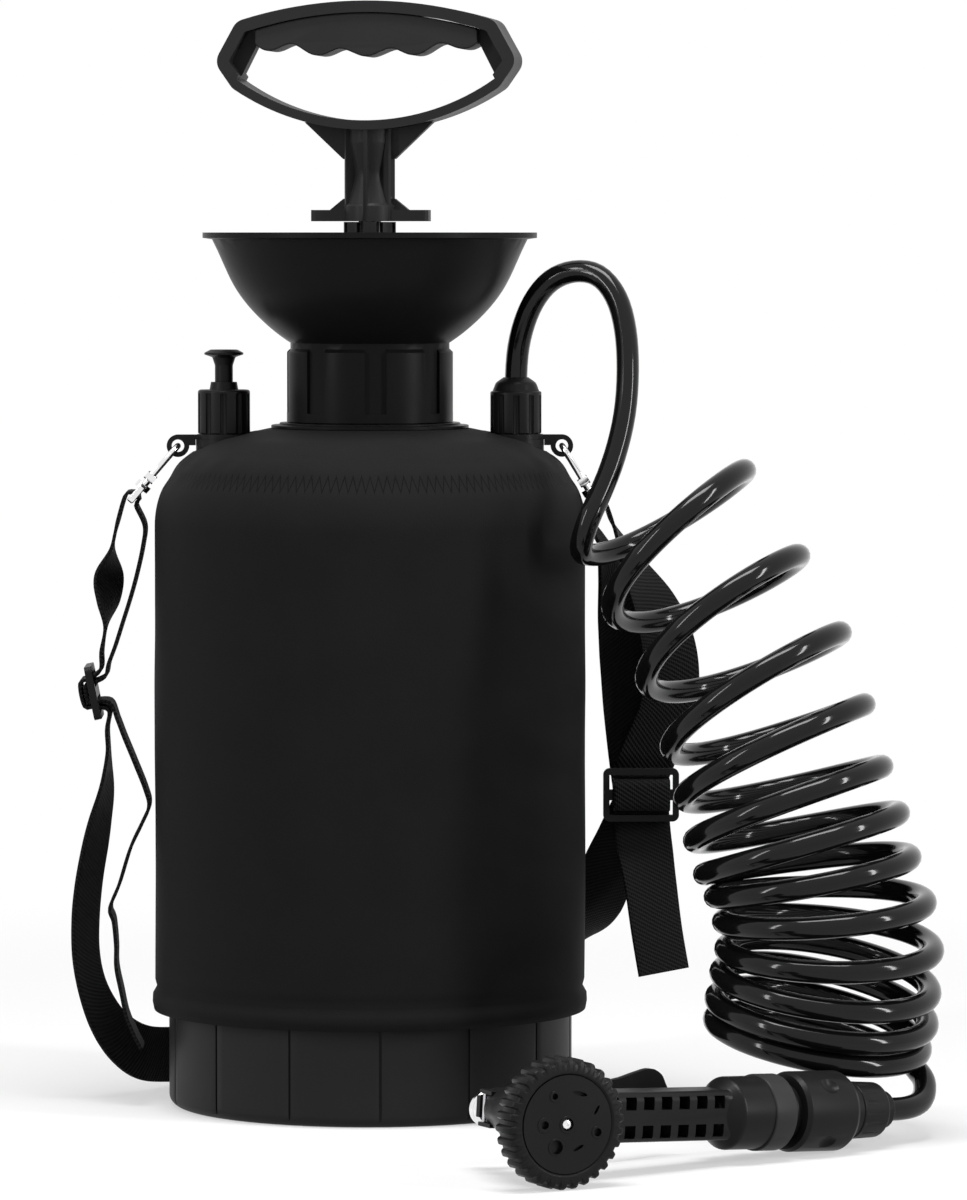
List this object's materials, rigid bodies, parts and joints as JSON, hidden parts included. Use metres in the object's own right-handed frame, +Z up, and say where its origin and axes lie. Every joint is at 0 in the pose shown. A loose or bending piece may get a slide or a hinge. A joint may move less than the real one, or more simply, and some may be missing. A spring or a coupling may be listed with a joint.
{
  "type": "portable pressure shower",
  "caption": "Hand-pumped portable shower: insulated tank with funnel top, D-handle pump, shoulder strap, coiled hose and pistol spray gun.",
  "frame": {"origin": "centre of the foot cup's underside, on the floor", "axes": "+Z up along the tank's axis, -Y towards the front, +X towards the coiled hose"},
  "size_m": [0.3796, 0.4026, 0.4915],
  "materials": {
    "cup_plastic": "dark grey, fine upright grooves",
    "tank_plastic": "black blow-moulded polyethylene",
    "neoprene": "matte black knit over neoprene foam",
    "black_plastic": "black, half gloss",
    "dark_grey_plastic": "dark grey, matte",
    "inner_plastic": "natural grey",
    "seal_rubber": "soft black rubber",
    "hose_pvc": "glossy black hose",
    "webbing": "black twill webbing",
    "hook_chrome": "polished",
    "spring_steel": "drawn wire"
  },
  "bodies": {
    "tank": {"foot_cup": "cup_plastic", "tank": "tank_plastic", "insulating_cover": "neoprene", "neck_ring": "black_plastic", "funnel": "black_plastic", "neck_seal": "seal_rubber", "relief_valve_nut": "black_plastic", "relief_valve_spring": "spring_steel", "relief_valve_seal": "seal_rubber", "outlet_nut": "black_plastic", "outlet_fitting": "inner_plastic", "outlet_seal": "seal_rubber", "dip_tube": "inner_plastic", "dip_tube_filter": "inner_plastic", "shoulder_strap": "webbing", "left_slider": "black_plastic", "right_slider": "black_plastic", "connector_core": "black_plastic", "connector_seal": "seal_rubber", "hose_nut": "black_plastic", "left_lug": "black_plastic", "left_hook": "hook_chrome", "left_hook_eye": "hook_chrome", "right_lug": "black_plastic", "right_hook": "hook_chrome", "right_hook_eye": "hook_chrome", "hose_lead": "hose_pvc", "hose_coil": "hose_pvc", "hose_tail": "hose_pvc"},
    "seal": {"pump_cap_seal": "seal_rubber"},
    "pump": {"pump_cap": "dark_grey_plastic", "rod_guide": "inner_plastic", "pump_barrel": "inner_plastic", "foot_valve": "seal_rubber"},
    "piston": {"piston": "inner_plastic", "piston_seal": "seal_rubber"},
    "handle": {"piston_rod": "inner_plastic", "pump_handle": "dark_grey_plastic", "handle_grip": "dark_grey_plastic"},
    "relief_valve": {"relief_valve_stem": "black_plastic"},
    "left_gate": {"left_hook_gate": "hook_chrome"},
    "right_gate": {"right_hook_gate": "hook_chrome"},
    "gun": {"gun_body": "black_plastic", "gun_inlet_ring": "dark_grey_plastic", "trigger_pin": "spring_steel"},
    "dial": {"spray_dial": "black_plastic", "dial_face": "black_plastic"},
    "trigger": {"trigger": "black_plastic"},
    "valve_stem": {"valve_stem": "hook_chrome"},
    "sleeve": {"connector_sleeve": "black_plastic"}
  },
  "joints": [
    {"name": "pump_lift", "type": "slide", "parent": "tank", "child": "seal", "axis": [0, 0, 1], "range_m": [0, 0.35]},
    {"name": "pump_unscrew", "type": "hinge", "parent": "seal", "child": "pump", "pos_m": [0, 0, 0.345], "axis": [0, 0, 1], "range_deg": [0, 540]},
    {"name": "pump_stroke", "type": "slide", "parent": "pump", "child": "piston", "axis": [0, 0, 1], "range_m": [0, 0.2]},
    {"name": "handle_turn", "type": "hinge", "parent": "piston", "child": "handle", "pos_m": [0, 0, 0.42], "axis": [0, 0, 1], "continuous": true},
    {"name": "relief_valve_pull", "type": "slide", "parent": "tank", "child": "relief_valve", "axis": [0, 0, 1], "range_m": [0, 0.004], "stiffness_N_per_m": 1500, "deforming": ["relief_valve_spring"]},
    {"name": "left_gate_hinge", "type": "hinge", "parent": "tank", "child": "left_gate", "pos_m": [-0.09696, 0.005, 0.28097], "axis": [0.7558, 0, -0.6548], "range_deg": [0, 25], "stiffness_Nm_per_rad": 0.05},
    {"name": "right_gate_hinge", "type": "hinge", "parent": "tank", "child": "right_gate", "pos_m": [0.0946, 0.005, 0.27926], "axis": [0.8541, 0, 0.5201], "range_deg": [0, 25], "stiffness_Nm_per_rad": 0.05},
    {"name": "gun_unplug", "type": "slide", "parent": "tank", "child": "gun", "axis": [-0.798, -0.5996, 0.0618], "range_m": [0, 0.045]},
    {"name": "dial_turn", "type": "hinge", "parent": "gun", "child": "dial", "pos_m": [0.0689, -0.2589, 0.027], "axis": [0.4462, -0.8949, 0], "continuous": true},
    {"name": "trigger_squeeze", "type": "hinge", "parent": "gun", "child": "trigger", "pos_m": [0.0381, -0.23403, 0.02804], "axis": [-0.0562, -0.028, -0.998], "range_deg": [0, 6], "stiffness_Nm_per_rad": 1},
    {"name": "valve_stem_slide", "type": "slide", "parent": "gun", "child": "valve_stem", "axis": [0.4462, -0.8949, 0], "range_m": [0, 0.0018]},
    {"name": "sleeve_pull", "type": "slide", "parent": "tank", "child": "sleeve", "axis": [0.798, 0.5996, -0.0618], "range_m": [0, 0.004], "stiffness_N_per_m": 1200}
  ],
  "couplings": [
    {"joint": "valve_stem_slide", "follows": "trigger_squeeze", "m_per_rad": 0.0165}
  ]
}
